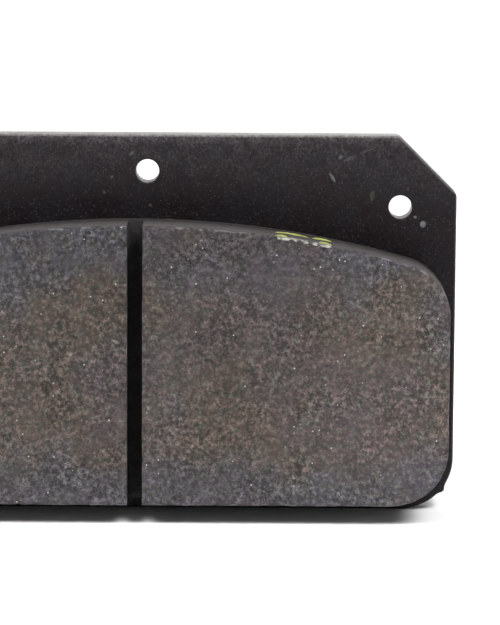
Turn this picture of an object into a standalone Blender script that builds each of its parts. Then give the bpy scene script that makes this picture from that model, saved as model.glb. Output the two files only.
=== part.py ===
"""A disc brake pad for a four-piston caliper, in metres, +Z up.

The pad stands on the foot of its backing plate, with the friction face towards -Y and the
piston side towards +Y. From back to front it is a painted steel plate, a bond film, an
underlayer whose keys pass through the plate, and a friction block with one sawn groove.
The origin is the middle of the overall box, at its base.
"""

import math

import bmesh
import bpy
from mathutils import Matrix

# Backing plate
PLATE_WIDTH = 0.1153
PLATE_HEIGHT = 0.0683
PLATE_THICKNESS = 0.0048
PLATE_CUT = 0.0105           # 45-degree cut of the two top corners
PLATE_CUT_ROUND = 0.0016     # radius at both ends of that cut
PLATE_FOOT_RADIUS = 0.0095
PLATE_EDGE_BREAK = 0.0003

# Retaining holes along the top of the plate: (x, drop below the top edge)
HOLE_DIAMETER = 0.0042
MIDDLE_HOLE = (0.0019, 0.0066)
END_HOLE = (0.0475, 0.0129)

# Lining: everything in front of the plate
LINING_WIDTH = 0.1122
LINING_HEIGHT = 0.0503       # foot to the crown's highest point
LINING_DEPTH = 0.0127        # plate face to friction face
LINING_LIFT = 0.0029         # plate foot to lining foot
CROWN_RADIUS = 0.1800
SHOULDER_RADIUS = 0.0097
FOOT_RADIUS = 0.0102
FACE_EDGE_BREAK = 0.0004

# Layers of the lining
GAP = 0.0003                 # clearance between neighbouring pieces
FILM_THICKNESS = 0.0003
FILM_INSET = 0.0008
UNDERLAYER_THICKNESS = 0.0014
UNDERLAYER_INSET = 0.0004

# Groove down the middle of the friction face
GROOVE_WIDTH = 0.0027
GROOVE_DEPTH = 0.0076

# Keys of underlayer compound through the plate
KEY_DIAMETER = 0.0100
KEY_X = 0.0400
KEY_RISE = 0.0125            # above and below the middle of the lining
KEY_RECESS = 0.0004          # below the plate's back face

ARC_STEPS = 12
CROWN_STEPS = 32
ROUND_STEPS = 32

# Places along Y, from the back face at +Y to the friction face at -Y
TOTAL_THICKNESS = PLATE_THICKNESS + LINING_DEPTH
BACK_Y = TOTAL_THICKNESS / 2
PLATE_FACE_Y = BACK_Y - PLATE_THICKNESS
FILM_BACK_Y = PLATE_FACE_Y - GAP
FILM_FACE_Y = FILM_BACK_Y - FILM_THICKNESS
UNDERLAYER_BACK_Y = FILM_FACE_Y - GAP
UNDERLAYER_FACE_Y = UNDERLAYER_BACK_Y - UNDERLAYER_THICKNESS
BLOCK_BACK_Y = UNDERLAYER_FACE_Y - GAP
BLOCK_FACE_Y = -TOTAL_THICKNESS / 2


def clear_scene():
    for obj in list(bpy.data.objects):
        bpy.data.objects.remove(obj, do_unlink=True)


def arc(centre_x, centre_z, radius, start, end, steps):
    """Points (x, z) on an arc between two angles in degrees, both ends included."""
    angles = [math.radians(start + (end - start) * step / steps) for step in range(steps + 1)]
    return [(centre_x + radius * math.cos(a), centre_z + radius * math.sin(a)) for a in angles]


def mirrored(right_half):
    """The closed outline whose right half runs from foot to top."""
    return right_half + [(-x, z) for x, z in reversed(right_half)]


def plate_outline(inset):
    """The plate's outline, moved inwards by inset."""
    half_width = PLATE_WIDTH / 2
    cut = PLATE_CUT_ROUND * math.tan(math.radians(22.5))
    radius = PLATE_CUT_ROUND - inset
    right = arc(half_width - PLATE_FOOT_RADIUS, PLATE_FOOT_RADIUS,
                PLATE_FOOT_RADIUS - inset, -90, 0, ARC_STEPS)
    right += arc(half_width - PLATE_CUT_ROUND, PLATE_HEIGHT - PLATE_CUT - cut, radius, 0, 45, 3)
    right += arc(half_width - PLATE_CUT - cut, PLATE_HEIGHT - PLATE_CUT_ROUND, radius, 45, 90, 3)
    return mirrored(right)


def lining_outline(inset):
    """The lining's outline: round foot corners, round shoulders and a crowned top."""
    half_width = LINING_WIDTH / 2
    foot_x = half_width - FOOT_RADIUS
    foot_z = LINING_LIFT + FOOT_RADIUS
    shoulder_x = half_width - SHOULDER_RADIUS
    crown_z = LINING_LIFT + LINING_HEIGHT - CROWN_RADIUS
    shoulder_rise = math.sqrt((CROWN_RADIUS - SHOULDER_RADIUS) ** 2 - shoulder_x ** 2)
    meeting = math.degrees(math.atan2(shoulder_rise, shoulder_x))
    right = arc(foot_x, foot_z, FOOT_RADIUS - inset, -90, 0, ARC_STEPS)
    right += arc(shoulder_x, crown_z + shoulder_rise, SHOULDER_RADIUS - inset, 0, meeting, ARC_STEPS)
    right += arc(0, crown_z, CROWN_RADIUS - inset, meeting, 90, CROWN_STEPS // 2)[1:-1]
    return mirrored(right)


def new_object(name, shape):
    mesh = bpy.data.meshes.new(name)
    shape.to_mesh(mesh)
    shape.free()
    obj = bpy.data.objects.new(name, mesh)
    bpy.context.collection.objects.link(obj)
    return obj


def lofted(name, outline, sections):
    """A closed solid through sections (inset, y) of one outline function."""
    shape = bmesh.new()
    rings = [[shape.verts.new((x, y, z)) for x, z in outline(inset)] for inset, y in sections]
    for ring, following in zip(rings, rings[1:]):
        for i in range(len(ring)):
            j = (i + 1) % len(ring)
            shape.faces.new((ring[i], ring[j], following[j], following[i]))
    shape.faces.new(rings[0])
    shape.faces.new(rings[-1])
    bmesh.ops.recalc_face_normals(shape, faces=shape.faces)
    return new_object(name, shape)


def rods(name, centres, diameter, back_y, front_y):
    """One mesh of round rods along Y, used to cut or to add."""
    shape = bmesh.new()
    turned = Matrix.Rotation(math.radians(90), 4, "X")
    for x, z in centres:
        place = Matrix.Translation((x, (back_y + front_y) / 2, z)) @ turned
        bmesh.ops.create_cone(shape, cap_ends=True, segments=ROUND_STEPS, radius1=diameter / 2,
                              radius2=diameter / 2, depth=back_y - front_y, matrix=place)
    return new_object(name, shape)


def box(name, low, high):
    shape = bmesh.new()
    made = bmesh.ops.create_cube(shape, size=1)
    for vert in made["verts"]:
        vert.co = [(a + b) / 2 + (b - a) * c for a, b, c in zip(low, high, vert.co)]
    return new_object(name, shape)


def combine(obj, tool, operation):
    """Adds a Boolean of a helper object, which stays out of the render."""
    tool.hide_render = True
    tool.display_type = "WIRE"
    boolean = obj.modifiers.new(tool.name, "BOOLEAN")
    boolean.operation = operation
    boolean.solver = "EXACT"
    boolean.object = tool


def finish(obj, color, roughness, metallic=0.0):
    """Shades the curved walls smooth and gives the piece its own material."""
    obj.data.shade_smooth()
    obj.data.set_sharp_from_angle(angle=math.radians(30))
    material = bpy.data.materials.new(obj.name)
    material.use_nodes = True
    shader = material.node_tree.nodes["Principled BSDF"]
    shader.inputs["Base Color"].default_value = (*color, 1)
    shader.inputs["Roughness"].default_value = roughness
    shader.inputs["Metallic"].default_value = metallic
    obj.data.materials.append(material)


def key_centres():
    middle_z = LINING_LIFT + LINING_HEIGHT / 2
    return [(side * KEY_X, middle_z + rise * KEY_RISE) for side in (-1, 1) for rise in (-1, 1)]


def hole_centres():
    holes = [MIDDLE_HOLE, END_HOLE, (-END_HOLE[0], END_HOLE[1])]
    return [(x, PLATE_HEIGHT - drop) for x, drop in holes]


def key_hole_cutter(name):
    """Cutter for the key holes of the plate and the film, a gap wider than the keys."""
    return rods(name, key_centres(), KEY_DIAMETER + 2 * GAP, BACK_Y + GAP, UNDERLAYER_BACK_Y - GAP)


def backing_plate():
    plate = lofted("backing_plate", plate_outline, [
        (PLATE_EDGE_BREAK, BACK_Y),
        (0, BACK_Y - PLATE_EDGE_BREAK),
        (0, PLATE_FACE_Y + PLATE_EDGE_BREAK),
        (PLATE_EDGE_BREAK, PLATE_FACE_Y),
    ])
    holes = rods("retaining_hole_cutter", hole_centres(), HOLE_DIAMETER, BACK_Y + GAP, PLATE_FACE_Y - GAP)
    combine(plate, holes, "DIFFERENCE")
    combine(plate, key_hole_cutter("plate_key_cutter"), "DIFFERENCE")
    finish(plate, (0.018, 0.017, 0.016), 0.5)


def bond_film():
    film = lofted("bond_film", lining_outline, [(FILM_INSET, FILM_BACK_Y), (FILM_INSET, FILM_FACE_Y)])
    combine(film, key_hole_cutter("film_key_cutter"), "DIFFERENCE")
    finish(film, (0.030, 0.018, 0.010), 0.4)


def underlayer():
    layer = lofted("underlayer", lining_outline,
                   [(UNDERLAYER_INSET, UNDERLAYER_BACK_Y), (UNDERLAYER_INSET, UNDERLAYER_FACE_Y)])
    bedded_y = UNDERLAYER_BACK_Y - UNDERLAYER_THICKNESS / 2
    keys = rods("underlayer_keys", key_centres(), KEY_DIAMETER, BACK_Y - KEY_RECESS, bedded_y)
    combine(layer, keys, "UNION")
    finish(layer, (0.050, 0.040, 0.034), 0.9)


def friction_block():
    block = lofted("friction_block", lining_outline, [
        (0, BLOCK_BACK_Y),
        (0, BLOCK_FACE_Y + FACE_EDGE_BREAK),
        (FACE_EDGE_BREAK, BLOCK_FACE_Y),
    ])
    groove = box("groove_cutter",
                 (-GROOVE_WIDTH / 2, BLOCK_FACE_Y - GAP, 0),
                 (GROOVE_WIDTH / 2, BLOCK_FACE_Y + GROOVE_DEPTH, PLATE_HEIGHT))
    combine(block, groove, "DIFFERENCE")
    finish(block, (0.110, 0.100, 0.095), 0.85)


clear_scene()
backing_plate()
bond_film()
underlayer()
friction_block()
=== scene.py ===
"""The look of the disc brake pad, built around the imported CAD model. Metres, +Z up.

The friction face looks towards -Y. Each CAD node is stood for by one finished mesh: a friction
block with a ground face, a sawn groove and rough moulded walls, a punched and painted plate, a
coarse underlayer with its keys, and a thin bead of bond film. Two dabs of paint mark the block.
"""

import math

import bmesh
import bpy
import numpy as np
from mathutils import Matrix, Vector


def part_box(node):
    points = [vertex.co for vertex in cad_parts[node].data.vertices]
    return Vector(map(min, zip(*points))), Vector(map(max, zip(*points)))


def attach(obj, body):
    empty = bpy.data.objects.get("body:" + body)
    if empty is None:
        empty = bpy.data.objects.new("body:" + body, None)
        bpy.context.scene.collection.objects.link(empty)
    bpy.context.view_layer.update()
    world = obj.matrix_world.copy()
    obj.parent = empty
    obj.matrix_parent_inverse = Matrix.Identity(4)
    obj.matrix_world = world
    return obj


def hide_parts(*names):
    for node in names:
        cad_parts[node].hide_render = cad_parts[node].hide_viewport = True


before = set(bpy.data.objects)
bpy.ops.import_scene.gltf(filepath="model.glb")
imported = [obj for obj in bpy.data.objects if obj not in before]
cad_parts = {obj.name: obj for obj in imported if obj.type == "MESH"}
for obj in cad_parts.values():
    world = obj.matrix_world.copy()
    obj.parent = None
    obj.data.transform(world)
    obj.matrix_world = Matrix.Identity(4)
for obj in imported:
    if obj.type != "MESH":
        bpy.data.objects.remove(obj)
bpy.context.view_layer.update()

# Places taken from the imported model
BLOCK_LOW, BLOCK_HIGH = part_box("friction_block")
PLATE_LOW, PLATE_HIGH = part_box("backing_plate")
LAYER_LOW, LAYER_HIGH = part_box("underlayer")
FILM_LOW, FILM_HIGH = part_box("bond_film")
HALF_WIDTH = BLOCK_HIGH.x
FOOT_Z = BLOCK_LOW.z
CROWN_Z = BLOCK_HIGH.z
FACE_Y = BLOCK_LOW.y
BLOCK_BACK_Y = BLOCK_HIGH.y

# Lining outline: crowned top, round shoulders and round foot corners
CROWN_RADIUS = 0.1800
SHOULDER_RADIUS = 0.0097
FOOT_RADIUS = 0.0102
SHOULDER_X = HALF_WIDTH - SHOULDER_RADIUS
SHOULDER_Z = CROWN_Z - CROWN_RADIUS + math.sqrt((CROWN_RADIUS - SHOULDER_RADIUS) ** 2 - SHOULDER_X ** 2)
MEETING_X = CROWN_RADIUS * SHOULDER_X / (CROWN_RADIUS - SHOULDER_RADIUS)  # shoulder meets crown
MEETING_ANGLE = math.acos(MEETING_X / CROWN_RADIUS)
FOOT_ARC_X = HALF_WIDTH - FOOT_RADIUS
FOOT_ARC_Z = FOOT_Z + FOOT_RADIUS

# Groove
GROOVE_HALF = 0.00135        # half its width
GROOVE_DEPTH = 0.0076
GROOVE_FLOOR_Y = FACE_Y + GROOVE_DEPTH

# Mesh of the block
STEP = 0.00036               # spacing of the mesh on the visible surfaces
RIM = 0.00038                # radius worn on the edge of the friction face
GROOVE_RIM = 0.00018         # radius on the edges of the groove
WALL_SMOOTH = 0.0094         # smooth part of the wall, from the face

# Plate
PLATE_CUT = 0.0105           # 45-degree cut of the two top corners
PLATE_CUT_ROUND = 0.0016     # radius at both ends of that cut
PLATE_FOOT_RADIUS = 0.0095
PLATE_EDGE_ROLL = 0.00045    # radius on the front edge, larger than the one behind
PLATE_BACK_ROLL = 0.0002
BURR_X, BURR_Z = 0.0557, 0.0035  # a run of paint on the plate's right foot corner
BURR_HEIGHT, BURR_SPREAD = 0.00055, 0.0007
HOLE_RADIUS = 0.0021
HOLE_FRONT_ROLL, HOLE_BACK_ROLL = 0.00028, 0.00015
HOLE_PLACES = [(0.0019, 0.0066), (0.0475, 0.0129), (-0.0475, 0.0129)]  # (x, drop below the top)

# Keys of the underlayer through the plate, and the bond film
GAP = 0.0003                 # clearance between neighbouring pieces
KEY_X, KEY_RISE, KEY_RADIUS = 0.0400, 0.0125, 0.0050
KEY_END_ROUND = 0.0004
FILM_INSET, FILM_BULGE = 0.0004, 0.00008
MIDDLE_Z = (FOOT_Z + CROWN_Z) / 2
KEY_CENTRES = [(sx * KEY_X, MIDDLE_Z + sz * KEY_RISE) for sx in (-1, 1) for sz in (-1, 1)]

# Light around the set
SOFTBOXES = [                # (name, place, width, height, power)
    ("left_softbox", (-0.53, -0.58, 0.97), 0.55, 0.55, 16.3),
    ("right_softbox", (0.53, -0.58, 0.97), 0.55, 0.55, 18.0),
    ("rear_softbox", (0.10, 0.95, 0.80), 0.60, 0.40, 4.0),
]
LIGHT_TARGET = (0.0, 0.0, 0.03)
BACKGROUND_LEVEL = 1.2       # of the white that the camera sees
AMBIENT_LEVEL = 0.10         # of the light from all round
BACKDROP_LEVEL = 1.8         # of the glow behind the pad, low down
FRONT_SHARE = 0.16           # of that glow, in front and at the sides

# Paint dabs
DAB_DEPTH = 0.0080           # of the painted line, along the wall from the face
DAB_LIFT = 0.00004           # of the flake's middle above the wall
DAB_THICKNESS = 0.00005
DAB_STEP = 0.00007           # spacing of the dabs' mesh
DABS = [                     # (name, start x, end x, x of the smear on the edge of the face, seed)
    ("paint_dab_long", 0.0249, 0.0308, 0.0261, 41),
    ("paint_dab_short", 0.0315, 0.0350, 0.0337, 47),
]

# View
VIEW_TARGET = Vector((0.0205, FACE_Y, 0.0379))
VIEW_DISTANCE = 0.594
VIEW_ELEVATION = 8.3         # degrees
VIEW_ROLL = 0.33             # degrees
LENS = 193                   # millimetres, on a sensor of SENSOR_WIDTH
SENSOR_WIDTH = 36
FLOOR_RADIUS = 0.34
LEAN = 3.0                   # degrees that the real pad leans back; here the floor slopes instead


# ---------------------------------------------------------------- mesh tools

def noise(points, size, seed):
    """Smooth random values from -1 to 1 at points, which change over one size in metres."""
    place = points / size + 31.7 * (seed + 1)
    cell = np.floor(place).astype(np.int64)
    part = place - cell
    part = part * part * (3 - 2 * part)
    total = np.zeros(len(points))
    for corner in np.ndindex(2, 2, 2):
        at = (cell + corner) & 0xFFFFF
        mixed = (at[:, 0] * 73856093) ^ (at[:, 1] * 19349663) ^ (at[:, 2] * 83492791) ^ (seed * 2654435)
        mixed = ((mixed ^ (mixed >> 13)) * 1274126177) & 0x7FFFFFFF
        mixed = ((mixed ^ (mixed >> 15)) * 1103515245) & 0x7FFFFFFF
        value = (mixed >> 7 & 0xFFFF) / 32767.5 - 1
        share = np.prod(np.where(np.array(corner) == 1, part, 1 - part), axis=1)
        total += share * value
    return total


def smoothstep(low, high, value):
    t = np.clip((value - low) / (high - low), 0, 1)
    return t * t * (3 - 2 * t)


def rim_places(radius):
    """Distances from an edge: close together across its rounding, then growing to one STEP."""
    places = [radius * (1 - math.cos(math.radians(a))) for a in range(0, 91, 15)]
    step = radius / 2
    while step < STEP:
        places.append(places[-1] + step)
        step *= 1.3
    return np.array(places)


def between(low, high, radius_low, radius_high):
    """Rows of places from low to high, which are numbers or arrays, close together at both ends."""
    low, high = np.atleast_1d(low).astype(float), np.atleast_1d(high).astype(float)
    first, last = rim_places(radius_low), rim_places(radius_high)
    start, end = low + first[-1], high - last[-1]
    count = int(math.ceil((end - start).max() / STEP))
    inner = np.linspace(0, 1, count + 1)[1:-1]
    return np.concatenate([
        low + first[:, None],
        start + (end - start) * inner[:, None],
        high - last[::-1, None],
    ])


class Patches:
    """Grids of points that are welded along their shared borders into one mesh."""

    def __init__(self):
        self.points, self.faces, self.count = [], [], 0

    def add(self, x, y, z):
        """Adds one grid of points in rows and columns, with its quads."""
        x, y, z = np.broadcast_arrays(x, y, z)
        rows, columns = x.shape
        index = np.arange(rows * columns).reshape(rows, columns) + self.count
        quads = np.stack([index[:-1, :-1], index[:-1, 1:], index[1:, 1:], index[1:, :-1]], axis=-1)
        self.points.append(np.stack([x, y, z], axis=-1).reshape(-1, 3))
        self.faces.append(quads.reshape(-1, 4))
        self.count += rows * columns

    def welded(self):
        """All the points and faces, with the points that fall together joined."""
        points = np.concatenate(self.points)
        keys = np.round(points * 1e7).astype(np.int64)
        _, first, back = np.unique(keys, axis=0, return_index=True, return_inverse=True)
        return points[first], back.reshape(-1)[np.concatenate(self.faces)]


def mesh_object(name, points, faces):
    """A mesh object with its faces turned outwards and shaded smooth."""
    mesh = bpy.data.meshes.new(name)
    mesh.from_pydata(points.tolist(), [], [list(f) for f in faces])
    shape = bmesh.new()
    shape.from_mesh(mesh)
    bmesh.ops.recalc_face_normals(shape, faces=shape.faces)
    shape.to_mesh(mesh)
    shape.free()
    mesh.shade_smooth()
    obj = bpy.data.objects.new(name, mesh)
    bpy.context.scene.collection.objects.link(obj)
    return obj


def read_mesh(obj):
    """Places and normals of a mesh's points."""
    count = len(obj.data.vertices)
    points, normals = np.zeros(count * 3), np.zeros(count * 3)
    obj.data.vertices.foreach_get("co", points)
    obj.data.vertices.foreach_get("normal", normals)
    return points.reshape(-1, 3), normals.reshape(-1, 3)


def write_mesh(obj, points):
    obj.data.vertices.foreach_set("co", points.ravel())
    obj.data.update()


# ---------------------------------------------------------------- lining outline

def lining_top(x):
    """Height of the lining's upper edge at x."""
    x = np.abs(x)
    crown = CROWN_Z - CROWN_RADIUS + np.sqrt(CROWN_RADIUS ** 2 - x ** 2)
    shoulder = SHOULDER_Z + np.sqrt(np.maximum(SHOULDER_RADIUS ** 2 - (x - SHOULDER_X) ** 2, 0))
    return np.where(x > MEETING_X, shoulder, crown)


def lining_bottom(x):
    """Height of the lining's lower edge at x."""
    x = np.abs(x)
    corner = FOOT_ARC_Z - np.sqrt(np.maximum(FOOT_RADIUS ** 2 - (x - FOOT_ARC_X) ** 2, 0))
    return np.where(x > FOOT_ARC_X, corner, FOOT_Z)


def inside(x, z):
    """Distance from the lining's outline, positive inside it."""
    x = np.abs(x)
    depth = np.minimum(HALF_WIDTH - x, z - FOOT_Z)
    depth = np.minimum(depth, CROWN_RADIUS - np.hypot(x, z - CROWN_Z + CROWN_RADIUS))
    foot = FOOT_RADIUS - np.hypot(x - FOOT_ARC_X, z - FOOT_ARC_Z)
    depth = np.where((x > FOOT_ARC_X) & (z < FOOT_ARC_Z), foot, depth)
    turn = np.arctan2(z - SHOULDER_Z, x - SHOULDER_X)
    shoulder = SHOULDER_RADIUS - np.hypot(x - SHOULDER_X, z - SHOULDER_Z)
    return np.where((turn > 0) & (turn < MEETING_ANGLE), shoulder, depth)


def arc(centre_x, centre_z, radius, start, end, steps):
    """Points (x, z) on an arc between two angles in degrees, both ends included."""
    turns = [math.radians(start + (end - start) * i / steps) for i in range(steps + 1)]
    return [(centre_x + radius * math.cos(a), centre_z + radius * math.sin(a)) for a in turns]


def mirrored(right_half):
    """The closed outline whose right half runs from foot to top."""
    return right_half + [(-x, z) for x, z in reversed(right_half)]


def lining_outline(inset):
    """Closed outline of the lining, moved inwards by inset. It has no point in the middle, at x = 0."""
    meeting = math.degrees(MEETING_ANGLE)
    long_steps, side_steps, corner_steps = 110, 62, 42
    first_x, last_angle = 0.0003, 89.9
    right = [(x, FOOT_Z + inset) for x in np.linspace(first_x, FOOT_ARC_X, long_steps)[:-1]]
    right += arc(FOOT_ARC_X, FOOT_ARC_Z, FOOT_RADIUS - inset, -90, 0, corner_steps)
    right += [(HALF_WIDTH - inset, z) for z in np.linspace(FOOT_ARC_Z, SHOULDER_Z, side_steps)[1:-1]]
    right += arc(SHOULDER_X, SHOULDER_Z, SHOULDER_RADIUS - inset, 0, meeting, corner_steps)
    right += arc(0, CROWN_Z - CROWN_RADIUS, CROWN_RADIUS - inset, meeting, last_angle, long_steps)[1:]
    return mirrored(right)


def plate_outline(inset):
    """Closed outline of the plate, moved inwards by inset."""
    half = PLATE_HIGH.x
    cut = PLATE_CUT_ROUND * math.tan(math.radians(22.5))
    radius = PLATE_CUT_ROUND - inset
    right = arc(half - PLATE_FOOT_RADIUS, PLATE_FOOT_RADIUS, PLATE_FOOT_RADIUS - inset, -90, 0, 40)
    right += arc(half - PLATE_CUT_ROUND, PLATE_HIGH.z - PLATE_CUT - cut, radius, 0, 45, 8)
    right += arc(half - PLATE_CUT - cut, PLATE_HIGH.z - PLATE_CUT_ROUND, radius, 45, 90, 8)
    return mirrored(right)


def with_burr(places):
    """The outline with a small lump at the burr's place, outwards from the foot corner's centre."""
    centre_x, centre_z = PLATE_HIGH.x - PLATE_FOOT_RADIUS, PLATE_FOOT_RADIUS
    moved = []
    for x, z in places:
        away = math.hypot(x - BURR_X, z - BURR_Z)
        out = BURR_HEIGHT * math.exp(-(away / BURR_SPREAD) ** 2) / PLATE_FOOT_RADIUS
        moved.append((x + (x - centre_x) * out, z + (z - centre_z) * out))
    return moved


# ---------------------------------------------------------------- friction block

def wall_relief(points):
    """Unevenness of the lining's smooth wall, outwards."""
    return 0.00004 * noise(points, 0.0012, 8) + 0.00008 * noise(points, 0.009, 11)


def rim_wear(points):
    """How far the edge of the friction face is worn in. The crown's edge is the most chipped."""
    small = smoothstep(0.15, 0.8, noise(points, 0.0011, 6)) * 0.00022
    large = smoothstep(0.35, 0.8, noise(points, 0.0028, 7)) * 0.00030
    return (small + large) * (0.35 + 0.65 * smoothstep(SHOULDER_Z, SHOULDER_Z + 0.006, points[:, 2]))


def block_shell():
    """The friction block's clean shape: face, groove and walls, all one closed mesh."""
    patches = Patches()
    columns = between(GROOVE_HALF, HALF_WIDTH, GROOVE_RIM, RIM)[:, 0]
    floor_columns = np.linspace(-GROOVE_HALF, GROOVE_HALF, 8)
    front_steps = np.linspace(0, 1, int((GROOVE_FLOOR_Y - FACE_Y) / STEP) + 1)
    back_steps = np.linspace(0, 1, int((BLOCK_BACK_Y - GROOVE_FLOOR_Y) / STEP) + 1)
    back_y = GROOVE_FLOOR_Y + (BLOCK_BACK_Y - GROOVE_FLOOR_Y) * back_steps[:, None]

    def rows(x):
        return between(lining_bottom(x), lining_top(x), RIM, RIM)

    def rounded(depth, radius):
        run = radius - np.clip(depth, 0, radius)
        return radius - np.sqrt(radius ** 2 - run ** 2)

    for side in (-1, 1):
        x = side * columns[None, :]
        z = rows(columns)
        x = np.broadcast_to(x, z.shape)
        groove_edge = rounded(np.abs(x) - GROOVE_HALF, GROOVE_RIM)
        y = FACE_Y + np.maximum(rounded(inside(x, z), RIM), groove_edge)
        patches.add(x, y, z)
        patches.add(x, np.full(z.shape, BLOCK_BACK_Y), z)
        border = [(x[0], y[0], z[0]), (x[:, -1], y[:, -1], z[:, -1]), (x[-1], y[-1], z[-1])]
        for bx, by, bz in border:
            patches.add(bx, by + (GROOVE_FLOOR_Y - by) * front_steps[:, None], bz)
            patches.add(bx, back_y, bz)
        bx, by, bz = x[:, 0], y[:, 0], z[:, 0]
        patches.add(bx, by + (GROOVE_FLOOR_Y - by) * front_steps[:, None], bz)
    z = rows(floor_columns)
    x = np.broadcast_to(floor_columns[None, :], z.shape)
    patches.add(x, np.full(z.shape, GROOVE_FLOOR_Y), z)
    patches.add(x, np.full(z.shape, BLOCK_BACK_Y), z)
    for edge in (0, -1):
        patches.add(x[edge], back_y, z[edge])

    return mesh_object("block_body", *patches.welded())


def block_body():
    """The friction block with its grain and pits, worn edge, and walls that are rough near the plate."""
    obj = block_shell()
    points, normals = read_mesh(obj)
    behind = points[:, 1] - FACE_Y
    facing = np.abs(normals[:, 1])
    hair = 1e-5              # slack in comparing places
    in_groove = (np.abs(points[:, 0]) < GROOVE_HALF + hair) & (behind < GROOVE_DEPTH + hair)
    wall = smoothstep(0.7, 0.2, facing) * ~in_groove
    face = smoothstep(0.9, 0.99, facing) * (behind < hair)
    rim = (behind < 2 * RIM) * (1 - face)

    # The uneven line around the wall where its smooth part ends
    around = points * [1, 0, 1]
    line = WALL_SMOOTH + 0.0005 * noise(around, 0.006, 1) + 0.0003 * noise(around, 0.0015, 2)
    rough = smoothstep(-0.0002, 0.0004, behind - line) * wall

    grain = 0.000012 * noise(points, 0.0005, 3)
    pits = smoothstep(0.45, 0.8, noise(points, 0.0011, 4)) * smoothstep(0.1, 0.6, noise(points, 0.004, 5))
    move = face * grain - face * 0.00006 * pits
    move -= rim * rim_wear(points) * np.where(in_groove, 0.4, 1.0)
    move += wall * wall_relief(points)
    move += rough * (0.00010 * noise(points, 0.0009, 9) + 0.00008 * noise(points, 0.0025, 10) - 0.00006)
    write_mesh(obj, points + normals * move[:, None])
    return obj


# ---------------------------------------------------------------- plate, underlayer, film

def loop_of(shape, places, y):
    """A ring of new mesh points through places (x, z), all at one y."""
    return [shape.verts.new((x, y, z)) for x, z in places]


def skin(shape, loops):
    """Smooth wall through loops of the same length."""
    for first, second in zip(loops, loops[1:]):
        for i in range(len(first)):
            j = (i + 1) % len(first)
            shape.faces.new((first[i], first[j], second[j], second[i])).smooth = True


def fill(shape, loops):
    """Flat face between an outer loop and the loops of its holes."""
    edges = []
    for loop in loops:
        for i in range(len(loop)):
            edges.append(shape.edges.get((loop[i], loop[(i + 1) % len(loop)])))
    made = bmesh.ops.triangle_fill(shape, use_beauty=True, edges=edges)
    for part in made["geom"]:
        if isinstance(part, bmesh.types.BMFace):
            part.smooth = False


def bmesh_object(name, shape):
    """An object made of a finished shape, with its faces turned outwards."""
    bmesh.ops.recalc_face_normals(shape, faces=shape.faces)
    mesh = bpy.data.meshes.new(name)
    shape.to_mesh(mesh)
    shape.free()
    obj = bpy.data.objects.new(name, mesh)
    bpy.context.scene.collection.objects.link(obj)
    return obj


def circle(centre, radius, steps=48):
    return arc(centre[0], centre[1], radius, 0, 360 - 360 / steps, steps - 1)


def edge_roll(radius, face_y, towards, steps=6):
    """(inset, y) across a rounded edge, from the flat face to the wall. towards is +1 or -1 along Y."""
    turns = [math.radians(90 * i / steps) for i in range(steps + 1)]
    return [(radius * (1 - math.sin(a)), face_y + towards * radius * (1 - math.cos(a))) for a in turns]


def plate_body():
    """The steel plate: rolled edge in front, sharper edge behind, punched holes."""
    shape = bmesh.new()
    front_y, back_y = PLATE_LOW.y, PLATE_HIGH.y
    profile = edge_roll(PLATE_EDGE_ROLL, front_y, 1) + edge_roll(PLATE_BACK_ROLL, back_y, -1)[::-1]
    rings = [loop_of(shape, with_burr(plate_outline(inset)), y) for inset, y in profile]
    hole_rims = [(x, PLATE_HIGH.z - drop, HOLE_RADIUS) for x, drop in HOLE_PLACES]
    hole_rims += [(x, z, KEY_RADIUS + GAP) for x, z in KEY_CENTRES]
    front_holes, back_holes, walls = [], [], []
    for x, z, radius in hole_rims:
        roll = edge_roll(HOLE_FRONT_ROLL, front_y, 1, 4) + edge_roll(HOLE_BACK_ROLL, back_y, -1, 3)[::-1]
        loops = [loop_of(shape, circle((x, z), radius + inset), y) for inset, y in roll]
        front_holes.append(loops[0])
        back_holes.append(loops[-1])
        walls.append(loops)
    for loops in [rings] + walls:
        skin(shape, loops)
    fill(shape, [rings[0]] + front_holes)
    fill(shape, [rings[-1]] + back_holes)
    return bmesh_object("plate_body", shape)


def underlayer_body():
    """The coarse layer under the block, with its four keys filling the plate's holes."""
    shape = bmesh.new()
    flat_y, face_y, end_y = FILM_LOW.y - GAP, LAYER_LOW.y, LAYER_HIGH.y
    rim_steps, shank_steps, round_steps, end_steps = 5, 4, 4, 12
    rings = []
    for k in range(rim_steps + 1):
        y = flat_y + (face_y - flat_y) * k / rim_steps
        rings.append(loop_of(shape, lining_outline(0.0), y))
    skin(shape, rings)
    fill(shape, [rings[-1]])

    key_starts = []
    shank = end_y - KEY_END_ROUND - flat_y
    for centre in KEY_CENTRES:
        loops = []
        for k in range(shank_steps + 1):
            loops.append(loop_of(shape, circle(centre, KEY_RADIUS), flat_y + shank * k / shank_steps))
        for k in range(1, round_steps + 1):
            a = math.radians(90 * k / round_steps)
            ring = circle(centre, KEY_RADIUS - KEY_END_ROUND * (1 - math.cos(a)))
            loops.append(loop_of(shape, ring, end_y - KEY_END_ROUND * (1 - math.sin(a))))
        for k in range(1, end_steps):
            ring = circle(centre, (KEY_RADIUS - KEY_END_ROUND) * (1 - k / end_steps))
            loops.append(loop_of(shape, ring, end_y))
        skin(shape, loops)
        shape.faces.new(loops[-1])
        key_starts.append(loops[0])
    fill(shape, [rings[0]] + key_starts)
    obj = bmesh_object("underlayer_body", shape)
    points, normals = read_mesh(obj)
    side = smoothstep(0.6, 0.2, np.abs(normals[:, 1])) * (points[:, 1] < flat_y)
    move = side * (0.00014 * noise(points, 0.0009, 21) + 0.00010 * noise(points, 0.0030, 22))
    key_end = points[:, 1] > end_y - 1.5 * KEY_END_ROUND
    move += key_end * (0.00007 * noise(points, 0.0008, 23) + 0.00005 * noise(points, 0.0022, 24) - 0.00006)
    write_mesh(obj, points + normals * move[:, None])
    return obj


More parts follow.
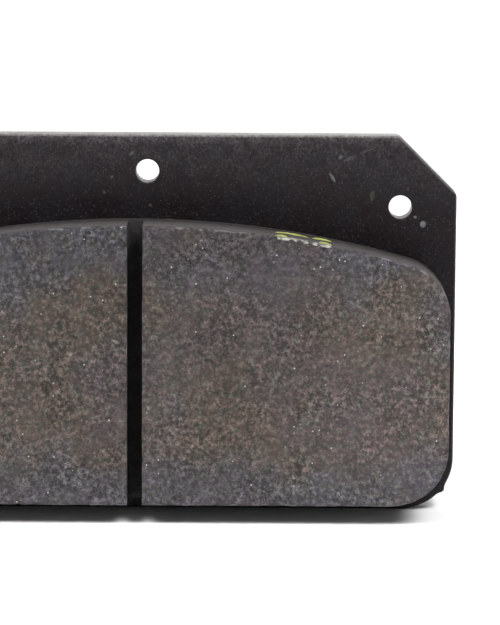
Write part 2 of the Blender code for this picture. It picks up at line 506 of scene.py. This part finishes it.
def film_body():
    """The bond film, with an edge that has run unevenly."""
    shape = bmesh.new()
    outline = np.array(lining_outline(FILM_INSET))
    out = np.column_stack([outline[:, 0], np.zeros(len(outline)), outline[:, 1]])
    run = 0.00035 * noise(out, 0.0022, 31) + 0.00025 * noise(out, 0.0070, 32)
    centre = np.array([0, MIDDLE_Z])
    away = outline - centre
    away /= np.linalg.norm(away, axis=1)[:, None]
    back_y, face_y = FILM_HIGH.y, FILM_LOW.y
    middle_y = (back_y + face_y) / 2
    profile = [
        (-FILM_BULGE, back_y),
        (FILM_BULGE / 2, (back_y + middle_y) / 2),
        (FILM_BULGE, middle_y),
        (FILM_BULGE / 2, (face_y + middle_y) / 2),
        (-FILM_BULGE, face_y),
    ]
    rings = [loop_of(shape, outline + away * (run + bulge)[:, None], y) for bulge, y in profile]
    key_holes = [circle(key_centre, KEY_RADIUS + GAP) for key_centre in KEY_CENTRES]
    walls = [[loop_of(shape, hole, y) for y in (back_y, face_y)] for hole in key_holes]
    for loops in [rings] + walls:
        skin(shape, loops)
    fill(shape, [rings[0]] + [w[0] for w in walls])
    fill(shape, [rings[-1]] + [w[-1] for w in walls])
    return bmesh_object("film_body", shape)


# ---------------------------------------------------------------- paint dabs

def paint_dab(name, start_x, end_x, smear_x, seed):
    """Dried marker paint on the crown wall, in separate thin flakes that follow the wall and its edge.

    They are a short line along the far side, and a smear with rubbed bits on the edge of the face.
    """
    down, back = 0.0002, DAB_DEPTH + 0.0010       # reach down the face and back along the wall
    along = np.linspace(start_x, end_x, int((end_x - start_x) / DAB_STEP))
    across = np.linspace(-down, back, int((down + back) / DAB_STEP))
    x, v = np.meshgrid(along, across)
    turn = np.clip(v / RIM + 0.5, 0, 1) * math.pi / 2
    y = FACE_Y + RIM * (1 - np.cos(turn)) + np.maximum(v - RIM / 2, 0)
    z = lining_top(x) - RIM * (1 - np.sin(turn)) - np.maximum(-v - RIM / 2, 0)
    points = np.stack([x, y, z], axis=-1).reshape(-1, 3)
    normals = np.stack([np.zeros_like(x), -np.cos(turn), np.sin(turn)], axis=-1).reshape(-1, 3)
    on_wall = smoothstep(0.5, 1.0, normals[:, 2])
    worn = (1 - smoothstep(1.5 * RIM, 2.5 * RIM, points[:, 1] - FACE_Y)) * rim_wear(points)
    points = points + normals * (DAB_LIFT + on_wall * wall_relief(points) - worn)[:, None]

    # v runs from the edge of the face: back along the wall, and down the face where it is negative
    line_width, line_sag = 0.0009, 0.0014
    smear_v, smear_reach_x, smear_reach_v = 0.0016, 0.0011, 0.0026
    bits_v, bits_width = 0.0006, 0.0013
    x, v = x.reshape(-1), v.reshape(-1)
    flat = np.column_stack([x, v, np.zeros(len(x))])
    middle, half = (start_x + end_x) / 2, (end_x - start_x) / 2
    reach = (x - middle) / half
    line = 1.2 * np.sqrt(np.maximum(1 - reach ** 2, 0))
    line -= np.abs(v - DAB_DEPTH + line_sag * reach ** 2) / line_width
    smear = 1.5 - 1.5 * np.hypot((x - smear_x) / smear_reach_x, (v - smear_v) / smear_reach_v)
    bits = 0.45 - np.abs(v - bits_v) / bits_width + 0.8 * noise(flat, 0.0006, seed + 3)
    bits = np.minimum(bits, 2 - 2 * np.abs(reach))
    keep = np.maximum(np.maximum(line, smear), bits) + 0.2 * noise(flat, 0.0007, seed)
    rows, columns = len(across), len(along)
    index = np.arange(rows * columns).reshape(rows, columns)
    quads = np.stack([index[:-1, :-1], index[:-1, 1:], index[1:, 1:], index[1:, :-1]], axis=-1)
    quads = quads.reshape(-1, 4)
    quads = quads[keep[quads].mean(axis=1) > 0.05]
    used = np.unique(quads)
    renumber = np.zeros(len(points), int)
    renumber[used] = np.arange(len(used))
    obj = mesh_object(name, points[used], renumber[quads])
    thick = obj.modifiers.new("thickness", "SOLIDIFY")
    thick.thickness = DAB_THICKNESS
    thick.offset = 0
    return obj


# ---------------------------------------------------------------- materials

class Nodes:
    """Short calls for building a node material."""

    def __init__(self, name):
        self.material = bpy.data.materials.new(name)
        self.material.use_nodes = True
        self.tree = self.material.node_tree
        self.shader = self.tree.nodes["Principled BSDF"]
        place = self.tree.nodes.new("ShaderNodeTexCoord")
        self.place = place.outputs["Object"]

    def link(self, source, target):
        """Joins a socket to the target, or gives the target a plain value."""
        if isinstance(source, bpy.types.NodeSocket):
            self.tree.links.new(source, target)
        else:
            target.default_value = source

    def noise(self, size, detail=2.0, roughness=0.5, place=None):
        node = self.tree.nodes.new("ShaderNodeTexNoise")
        node.inputs["Scale"].default_value = 1 / size
        node.inputs["Detail"].default_value = detail
        node.inputs["Roughness"].default_value = roughness
        self.tree.links.new(place or self.place, node.inputs["Vector"])
        return node.outputs["Fac"]

    def shifted(self, x, y, z):
        """The object's own places, moved, so that one texture differs from another."""
        node = self.tree.nodes.new("ShaderNodeVectorMath")
        node.operation = "ADD"
        self.tree.links.new(self.place, node.inputs[0])
        node.inputs[1].default_value = (x, y, z)
        return node.outputs[0]

    def voronoi(self, size, place):
        node = self.tree.nodes.new("ShaderNodeTexVoronoi")
        node.inputs["Scale"].default_value = 1 / size
        self.tree.links.new(place, node.inputs["Vector"])
        return node.outputs["Distance"], node.outputs["Color"]

    def math(self, operation, a, b=0.0, c=None):
        node = self.tree.nodes.new("ShaderNodeMath")
        node.operation = operation
        self.link(a, node.inputs[0])
        self.link(b, node.inputs[1])
        if c is not None:
            self.link(c, node.inputs[2])
        return node.outputs[0]

    def ramp(self, value, low, high, to_low=0.0, to_high=1.0):
        """Goes smoothly from to_low to to_high while value goes from low to high."""
        node = self.tree.nodes.new("ShaderNodeMapRange")
        node.interpolation_type = "SMOOTHSTEP"
        self.link(value, node.inputs["Value"])
        node.inputs["From Min"].default_value = low
        node.inputs["From Max"].default_value = high
        node.inputs["To Min"].default_value = to_low
        node.inputs["To Max"].default_value = to_high
        return node.outputs["Result"]

    def mix(self, share, a, b):
        """Color a where share is 0, and color b where it is 1."""
        node = self.tree.nodes.new("ShaderNodeMix")
        node.data_type = "RGBA"
        self.link(share, node.inputs[0])
        for value, socket in ((a, node.inputs[6]), (b, node.inputs[7])):
            if isinstance(value, tuple):
                socket.default_value = (*value, 1)
            else:
                self.tree.links.new(value, socket)
        return node.outputs[2]

    def axis(self, name):
        node = self.tree.nodes.new("ShaderNodeSeparateXYZ")
        self.tree.links.new(self.place, node.inputs[0])
        return node.outputs[name]

    def brighten(self, color, value):
        """Color multiplied by value."""
        node = self.tree.nodes.new("ShaderNodeVectorMath")
        node.operation = "SCALE"
        self.tree.links.new(color, node.inputs[0])
        self.link(value, node.inputs["Scale"])
        return node.outputs[0]

    def bump(self, height, distance):
        node = self.tree.nodes.new("ShaderNodeBump")
        node.inputs["Strength"].default_value = 1.0
        node.inputs["Distance"].default_value = distance
        self.tree.links.new(height, node.inputs["Height"])
        return node.outputs["Normal"]

    def finished(self, color, roughness, relief, relief_depth, specular=None):
        """The material, with its color, roughness and bump joined to the shader."""
        self.tree.links.new(color, self.shader.inputs["Base Color"])
        self.tree.links.new(roughness, self.shader.inputs["Roughness"])
        self.tree.links.new(self.bump(relief, relief_depth), self.shader.inputs["Normal"])
        if specular is not None:
            self.shader.inputs["Specular IOR Level"].default_value = specular
        return self.material


def spots(n, color, size, share, radius, strength, tone, place):
    """Color with small round spots of tone, in a random share of the cells of one size.

    The radius is a share of that size, and place shifts the pattern.
    """
    distance, cell = n.voronoi(size, n.shifted(*place))
    parts = n.tree.nodes.new("ShaderNodeSeparateColor")
    n.tree.links.new(cell, parts.inputs[0])
    chosen = n.math("GREATER_THAN", parts.outputs[0], 1 - share)
    spot = n.math("MULTIPLY", n.ramp(distance, radius, radius * 0.5), chosen)
    return n.mix(n.math("MULTIPLY", spot, strength), color, tone)


def face_color(n, grain, clump, patch):
    """The ground face: brown, with bluish smears that gather along its edges, and small bright grains."""
    brown, bluish = (0.0578, 0.0431, 0.0356), (0.0435, 0.0402, 0.0460)
    smoke, green_grey = (0.0485, 0.0385, 0.0450), (0.0430, 0.0455, 0.0375)
    z = n.axis("Z")
    side = n.math("ABSOLUTE", n.axis("X"))
    edge = n.math("MAXIMUM", n.ramp(z, FOOT_Z + 0.014, FOOT_Z, 0.0, 0.33),
                  n.ramp(z, CROWN_Z - 0.016, CROWN_Z - 0.003, 0.0, 0.29))
    edge = n.math("MAXIMUM", edge, n.ramp(side, HALF_WIDTH - 0.008, HALF_WIDTH, 0.0, 0.14))
    color = n.mix(n.ramp(n.math("ADD", patch, edge), 0.48, 0.80), brown, bluish)
    smoky = n.noise(0.0200, 3.0, 0.50, n.shifted(0.5, 0.8, 0.1))
    color = n.mix(n.math("MULTIPLY", n.ramp(smoky, 0.48, 0.64), 0.5), color, smoke)
    fine_tint = n.noise(0.0015, 2.0, 0.60, n.shifted(0.7, 0.9, 0.3))
    color = n.mix(n.math("MULTIPLY", n.ramp(fine_tint, 0.50, 0.62), 0.6), color, green_grey)

    # Light and dark: grain, stronger in some areas, then clumps, painted light that brightens the face
    # towards its sides and its foot, and pale crumbs
    swing = n.ramp(n.noise(0.0070, 3.0, 0.6, n.shifted(0.6, 0.2, 0.5)), 0.35, 0.65, 0.75, 1.38)
    level = n.math("MULTIPLY_ADD", n.math("POWER", n.ramp(grain, 0.25, 0.75), 2.0), 1.6, -0.55)
    level = n.math("MULTIPLY_ADD", level, swing, 1.0)
    level = n.math("MULTIPLY", level, n.ramp(clump, 0.28, 0.72, 0.76, 1.24))
    # Painted light: brighter towards the sides and towards the foot, where the floor throws light back
    level = n.math("MULTIPLY", level, n.ramp(side, 0.014, 0.050, 0.95, 1.16))
    level = n.math("MULTIPLY", level, n.ramp(z, FOOT_Z, CROWN_Z, 1.12, 0.90))
    level = n.math("MULTIPLY", level, n.ramp(patch, 0.3, 0.7, 0.92, 1.08))
    gathered = n.ramp(n.noise(0.0080, 3.0, 0.6, n.shifted(0.2, 0.6, 0.9)), 0.46, 0.62)
    crumbs = n.ramp(n.noise(0.0012, 2.0, 0.6, n.shifted(0.8, 0.3, 0.4)), 0.55, 0.72)
    crumbs = n.math("MULTIPLY", gathered, crumbs)
    color = n.brighten(color, n.math("MULTIPLY", level, n.math("MULTIPLY_ADD", crumbs, 0.75, 1.0)))

    # Mineral flakes, fine light dots, larger pale grains and dark bits
    color = spots(n, color, 0.0011, 0.14, 0.15, 1.0, (0.34, 0.33, 0.32), (0.11, 0.23, 0.37))
    color = spots(n, color, 0.0008, 0.42, 0.20, 0.8, (0.115, 0.108, 0.104), (0.27, 0.81, 0.52))
    color = spots(n, color, 0.0019, 0.30, 0.14, 0.7, (0.120, 0.115, 0.112), (0.41, 0.63, 0.17))
    return spots(n, color, 0.0009, 0.22, 0.26, 0.6, (0.012, 0.010, 0.010), (0.71, 0.13, 0.57))


def worn_edge(n, color, behind, clump):
    """Color with pale wear on the edge of the face."""
    worn = n.math("MULTIPLY", n.ramp(behind, 0.00002, 0.00012), n.ramp(behind, 0.0009, 0.0004))
    worn = n.math("MULTIPLY", worn, n.ramp(n.axis("Z"), SHOULDER_Z + 0.004, SHOULDER_Z - 0.004, 0.7, 1.0))
    worn = n.math("MULTIPLY", worn, n.ramp(clump, 0.49, 0.62, 0.0, 0.9))
    return n.mix(worn, color, (0.140, 0.136, 0.146))


def wall_color(n, behind, grain, clump, patch):
    """The moulded walls, rough near the plate, darkened towards the plate by paint drifted over them and
    by painted shade where the plate hides them from the light.
    """
    calm = n.ramp(grain, 0.25, 0.75, 0.70, 1.30)
    smooth_wall = n.brighten(n.mix(patch, (0.066, 0.059, 0.059), (0.060, 0.054, 0.055)), calm)
    rough_wall = n.brighten(n.mix(clump, (0.042, 0.031, 0.024), (0.032, 0.026, 0.022)), calm)
    uneven = n.math("SUBTRACT", n.noise(0.004, 4.0, 0.6), 0.5)
    border = n.math("MULTIPLY_ADD", uneven, -0.0025, behind)
    rough_zone = n.ramp(border, WALL_SMOOTH - 0.0008, WALL_SMOOTH + 0.0008)
    # Paint overspray and painted shade: the wall grows dark towards the plate
    painted = n.ramp(n.math("MULTIPLY_ADD", uneven, 0.0030, behind), 0.0010, 0.0125)
    return n.mix(painted, n.mix(rough_zone, smooth_wall, rough_wall), (0.0088, 0.0075, 0.0076))


def friction_material():
    """Ground face, worn edge, moulded walls, and painted shade inside the groove."""
    n = Nodes("friction_compound")
    behind = n.math("SUBTRACT", n.axis("Y"), FACE_Y)
    grain = n.noise(0.00085, 3.0, 0.85)
    clump = n.noise(0.0026, 4.0, 0.62, n.shifted(0.3, 0.1, 0.7))
    patch = n.noise(0.0130, 3.0, 0.45, n.shifted(0.9, 0.4, 0.2))
    color = worn_edge(n, face_color(n, grain, clump, patch), behind, clump)
    color = n.mix(n.ramp(behind, RIM, 4 * RIM), color, wall_color(n, behind, grain, clump, patch))
    # Painted shade: the inside of the narrow groove is darkened to half
    in_groove = n.math("LESS_THAN", n.math("ABSOLUTE", n.axis("X")), GROOVE_HALF + 0.0001)
    in_groove = n.math("MULTIPLY", in_groove, n.ramp(behind, 0.0002, 0.0008))
    color = n.brighten(color, n.math("MULTIPLY_ADD", in_groove, -0.5, 1.0))
    relief = n.math("ADD", grain, n.math("MULTIPLY", clump, 0.7))
    return n.finished(color, n.ramp(clump, 0.3, 0.7, 0.72, 0.92), relief, 0.00010, specular=0.3)


def scuff(n, x, z, length, width, slant):
    """1 within a faint elongated mark on the plate's face, fading at its border."""
    along, across = math.cos(math.radians(slant)), math.sin(math.radians(slant))
    dx, dz = n.math("SUBTRACT", n.axis("X"), x), n.math("SUBTRACT", n.axis("Z"), z)
    u = n.math("ADD", n.math("MULTIPLY", dx, along / length), n.math("MULTIPLY", dz, across / length))
    v = n.math("ADD", n.math("MULTIPLY", dx, -across / width), n.math("MULTIPLY", dz, along / width))
    reach = n.math("SQRT", n.math("ADD", n.math("MULTIPLY", u, u), n.math("MULTIPLY", v, v)))
    return n.ramp(reach, 1.1, 0.6)


def dust_and_painted_light(n, dust, front):
    """Share of pale dust and painted light on the plate. It grows with the height above the lining's
    crown, a painted shade that keeps the plate dark near the lining, and a painted highlight runs along
    the top edge.
    """
    z = n.axis("Z")
    bow = n.math("MULTIPLY", n.math("MULTIPLY", n.axis("X"), n.axis("X")), 0.15 / CROWN_RADIUS)
    height = n.math("SUBTRACT", n.math("ADD", z, bow), CROWN_Z)
    # Painted shade: less pale film close to the lining, where the block shades the plate
    film = n.math("MULTIPLY_ADD", n.ramp(height, 0.0025, PLATE_HIGH.z - CROWN_Z), 0.060, 0.002)
    # Painted highlight along the plate's top edge
    film = n.math("ADD", film, n.ramp(z, PLATE_HIGH.z - 0.0025, PLATE_HIGH.z, 0.0, 0.10))
    film = n.math("MULTIPLY", film, n.ramp(dust, 0.30, 0.72, 0.1, 2.0))
    drift = n.noise(0.0024, 4.0, 0.6, n.shifted(0.2, 0.9, 0.6))
    film = n.math("MULTIPLY", film, n.ramp(drift, 0.35, 0.65, 0.65, 1.35))
    return n.math("MULTIPLY", film, n.math("MULTIPLY_ADD", front, 0.65, 0.35))


def handling_marks(n, color, fine, front):
    """Color with pale scuffs and spots, and one greenish mark, on the plate's front."""
    marks = [                # (x, z, half length, half width, slant, strength)
        (0.0352, 0.0607, 0.0011, 0.0003, -60, 0.22), (0.0367, 0.0644, 0.0005, 0.0003, 30, 0.16),
        (0.0384, 0.0642, 0.0014, 0.0003, 25, 0.07), (0.0412, 0.0655, 0.0013, 0.0003, 20, 0.06),
        (0.0516, 0.0523, 0.0007, 0.0006, 80, 0.30), (0.0502, 0.0536, 0.0003, 0.0003, 0, 0.25),
        (-0.0009, 0.0649, 0.0007, 0.0003, 40, 0.10), (-0.0045, 0.0606, 0.0004, 0.0003, 0, 0.10),
        (-0.0059, 0.0578, 0.0003, 0.0003, 0, 0.12), (0.0024, 0.0555, 0.0004, 0.0003, 10, 0.10),
    ]
    for x, z, length, width, slant, strength in marks:
        mark = n.math("MULTIPLY", scuff(n, x, z, length, width, slant), front)
        mark = n.math("MULTIPLY", mark, n.ramp(fine, 0.3, 0.6, 0.5 * strength, strength))
        color = n.mix(mark, color, (0.36, 0.36, 0.37))
    green = n.math("MULTIPLY", scuff(n, 0.0424, 0.0574, 0.0011, 0.0005, 85), front)
    return n.mix(n.math("MULTIPLY", green, 0.10), color, (0.20, 0.22, 0.13))


def chips_and_painted_edge_highlights(n, color, dust):
    """Color with a pale line along the plate's top, cut and upright edges: a painted highlight, and bare
    metal where the paint is chipped.
    """
    z = n.axis("Z")
    side = n.math("ABSOLUTE", n.axis("X"))
    cut_line = PLATE_HIGH.x + PLATE_HIGH.z - PLATE_CUT
    # Painted highlight along the edges, broken into chips by the dust pattern
    edges = n.math("MAXIMUM", n.ramp(z, PLATE_HIGH.z - 0.0006, PLATE_HIGH.z),
                   n.ramp(n.math("ADD", side, z), cut_line - 0.0007, cut_line, 0.0, 0.7))
    edges = n.math("MAXIMUM", edges, n.ramp(side, PLATE_HIGH.x - 0.0004, PLATE_HIGH.x, 0.0, 0.35))
    chip_and_highlight = n.math("MULTIPLY", edges, n.ramp(dust, 0.30, 0.75, 0.4, 1.0))
    return n.mix(n.math("MULTIPLY", chip_and_highlight, 0.34), color, (0.42, 0.40, 0.38))


def paint_material():
    """Thin black paint with dust, specks, marks and chipped edges, with painted shade near the lining and
    painted highlights along the top and the edges.
    """
    n = Nodes("painted_steel")
    cloud = n.noise(0.006, 5.0, 0.6)
    fine = n.noise(0.00055, 3.0, 0.7)
    dust = n.noise(0.00055, 4.0, 0.75, n.shifted(0.4, 0.7, 0.2))
    front = n.math("LESS_THAN", n.axis("Y"), PLATE_LOW.y + PLATE_EDGE_ROLL)
    color = n.mix(n.ramp(cloud, 0.35, 0.65), (0.0046, 0.0024, 0.0032), (0.0040, 0.0028, 0.0044))
    color = n.brighten(color, n.ramp(fine, 0.25, 0.75, 0.2, 1.8))
    # Pale dust, with painted shade near the lining and a painted highlight on the top edge
    color = n.mix(dust_and_painted_light(n, dust, front), color, (0.20, 0.180, 0.188))
    speck_tone = (0.20, 0.19, 0.19)
    color = spots(n, color, 0.0005, 0.45, 0.34, 0.11, speck_tone, (0.1, 0.2, 0.3))
    color = spots(n, color, 0.0031, 0.25, 0.06, 0.14, speck_tone, (0.6, 0.4, 0.1))
    color = chips_and_painted_edge_highlights(n, handling_marks(n, color, fine, front), dust)
    relief = n.math("ADD", fine, n.noise(0.0016, 2.0))
    return n.finished(color, n.ramp(cloud, 0.3, 0.7, 0.34, 0.46), relief, 0.00012, specular=0.2)


def underlayer_material():
    """Coarse compound, bare on the ends of the keys, and on the layer's rim dark with paint overspray and
    with painted shade between plate and block.
    """
    n = Nodes("underlayer_compound")
    grain = n.noise(0.0006, 3.0, 0.6)
    clump = n.noise(0.0018, 3.0, 0.6, n.shifted(0.4, 0.2, 0.8))
    # The rim's dark colour is paint overspray and painted shade in the gap between plate and block
    painted = n.mix(clump, (0.0075, 0.0060, 0.0054), (0.0150, 0.0125, 0.0112))
    bare = n.mix(clump, (0.024, 0.018, 0.013), (0.050, 0.038, 0.030))
    color = n.mix(n.math("GREATER_THAN", n.axis("Y"), FILM_LOW.y), painted, bare)
    color = n.brighten(color, n.ramp(grain, 0.3, 0.7, 0.6, 1.6))
    return n.finished(color, n.ramp(grain, 0.3, 0.7, 0.8, 0.98), n.math("ADD", grain, clump), 0.0003)


def adhesive_material():
    """Dark brown cured adhesive."""
    n = Nodes("adhesive")
    cloud = n.noise(0.0015, 3.0, 0.6)
    color = n.mix(cloud, (0.012, 0.008, 0.005), (0.040, 0.026, 0.015))
    return n.finished(color, n.ramp(cloud, 0.3, 0.7, 0.3, 0.5), cloud, 0.0001)


def dab_material():
    """Yellow-green paint, rubbed to a chalky grey on the edge of the face."""
    n = Nodes("marking_paint")
    cloud = n.noise(0.0009, 3.0, 0.6)
    behind = n.math("SUBTRACT", n.axis("Y"), FACE_Y)
    color = n.mix(n.ramp(cloud, 0.35, 0.65), (0.27, 0.31, 0.05), (0.38, 0.40, 0.12))
    rubbed = n.mix(n.ramp(cloud, 0.40, 0.60), (0.09, 0.09, 0.084), (0.26, 0.26, 0.23))
    color = n.mix(n.ramp(behind, 0.0020, 0.0012), color, rubbed)
    return n.finished(color, n.ramp(cloud, 0.3, 0.7, 0.4, 0.6), cloud, 0.00008)


# ---------------------------------------------------------------- set

def area_light(name, place, target, width, height, power):
    """A rectangular light at place, turned towards target."""
    data = bpy.data.lights.new(name, "AREA")
    data.shape = "RECTANGLE"
    data.size, data.size_y = width, height
    data.energy = power
    obj = bpy.data.objects.new(name, data)
    obj.location = place
    obj.rotation_euler = (Vector(target) - Vector(place)).to_track_quat("-Z", "Y").to_euler()
    bpy.context.scene.collection.objects.link(obj)


def backdrop_glow(tree):
    """Dim light from all round, and low down a glow that is strongest behind the pad."""
    place = tree.nodes.new("ShaderNodeTexCoord")
    parts = tree.nodes.new("ShaderNodeSeparateXYZ")
    tree.links.new(place.outputs["Generated"], parts.inputs[0])
    shares = []
    for axis, low, high, least in (("Y", 0.25, 0.60, FRONT_SHARE), ("Z", 0.45, 0.20, 0.0)):
        ramp = tree.nodes.new("ShaderNodeMapRange")
        tree.links.new(parts.outputs[axis], ramp.inputs["Value"])
        ramp.inputs["From Min"].default_value = low
        ramp.inputs["From Max"].default_value = high
        ramp.inputs["To Min"].default_value = least
        shares.append(ramp.outputs["Result"])
    both = tree.nodes.new("ShaderNodeMath")
    both.operation = "MULTIPLY"
    level = tree.nodes.new("ShaderNodeMath")
    level.operation = "MULTIPLY_ADD"
    for share, socket in zip(shares, both.inputs):
        tree.links.new(share, socket)
    tree.links.new(both.outputs[0], level.inputs[0])
    level.inputs[1].default_value = BACKDROP_LEVEL
    level.inputs[2].default_value = AMBIENT_LEVEL
    return level.outputs[0]


def world_light():
    """White where the camera sees the world itself, and the dim glow as light."""
    world = bpy.data.worlds.new("studio")
    world.use_nodes = True
    bpy.context.scene.world = world
    tree = world.node_tree
    tree.nodes.clear()
    output = tree.nodes.new("ShaderNodeOutputWorld")
    seen, lighting = tree.nodes.new("ShaderNodeBackground"), tree.nodes.new("ShaderNodeBackground")
    seen.inputs["Color"].default_value = (1, 1, 1, 1)
    seen.inputs["Strength"].default_value = BACKGROUND_LEVEL
    lighting.inputs["Color"].default_value = (1, 1, 1, 1)
    tree.links.new(backdrop_glow(tree), lighting.inputs["Strength"])
    path = tree.nodes.new("ShaderNodeLightPath")
    mix = tree.nodes.new("ShaderNodeMixShader")
    tree.links.new(path.outputs["Is Camera Ray"], mix.inputs[0])
    tree.links.new(lighting.outputs[0], mix.inputs[1])
    tree.links.new(seen.outputs[0], mix.inputs[2])
    tree.links.new(mix.outputs[0], output.inputs["Surface"])


def pale_floor():
    """A round sheet of paper under the plate's foot."""
    shape = bmesh.new()
    bmesh.ops.create_circle(shape, cap_ends=True, segments=96, radius=FLOOR_RADIUS)
    lean = math.radians(LEAN)
    bmesh.ops.transform(shape, verts=shape.verts, matrix=Matrix.Rotation(lean, 4, "X"))
    floor = bmesh_object("floor", shape)
    floor.location.z = -PLATE_HIGH.y * math.tan(lean)
    paper = Nodes("paper")
    paper.shader.inputs["Base Color"].default_value = (0.90, 0.90, 0.90, 1)
    paper.shader.inputs["Roughness"].default_value = 0.9
    paper.shader.inputs["Specular IOR Level"].default_value = 0.2
    floor.data.materials.append(paper.material)


def photo_camera():
    """A long lens, a little above the pad, as in the photograph."""
    camera_data = bpy.data.cameras.new("camera")
    camera_data.lens = LENS
    camera_data.sensor_width = SENSOR_WIDTH
    camera_data.clip_start, camera_data.clip_end = 0.01, 20
    camera = bpy.data.objects.new("camera", camera_data)
    bpy.context.scene.collection.objects.link(camera)
    rise = math.radians(VIEW_ELEVATION)
    camera.location = VIEW_TARGET + VIEW_DISTANCE * Vector((0, -math.cos(rise), math.sin(rise)))
    look = (VIEW_TARGET - camera.location).to_track_quat("-Z", "Y").to_matrix()
    camera.rotation_euler = (look @ Matrix.Rotation(math.radians(VIEW_ROLL), 3, "Z")).to_euler()
    bpy.context.scene.camera = camera
    bpy.context.scene.view_settings.view_transform = "Standard"


# ---------------------------------------------------------------- assembly

PIECES = [
    (block_body, friction_material, "friction_block", "friction_compound"),
    (plate_body, paint_material, "backing_plate", "painted_steel"),
    (underlayer_body, underlayer_material, "underlayer", "underlayer_compound"),
    (film_body, adhesive_material, "bond_film", "adhesive"),
]
for build, finish_material, node, slot_name in PIECES:
    piece = build()
    piece.data.materials.append(finish_material())
    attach(piece, "root")
    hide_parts(node)

dab_paint = dab_material()
for dab_facts in DABS:
    dab = paint_dab(*dab_facts)
    dab.data.materials.append(dab_paint)
    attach(dab, "root")

for light_name, light_place, light_width, light_height, light_power in SOFTBOXES:
    area_light(light_name, light_place, LIGHT_TARGET, light_width, light_height, light_power)
world_light()
pale_floor()
photo_camera()
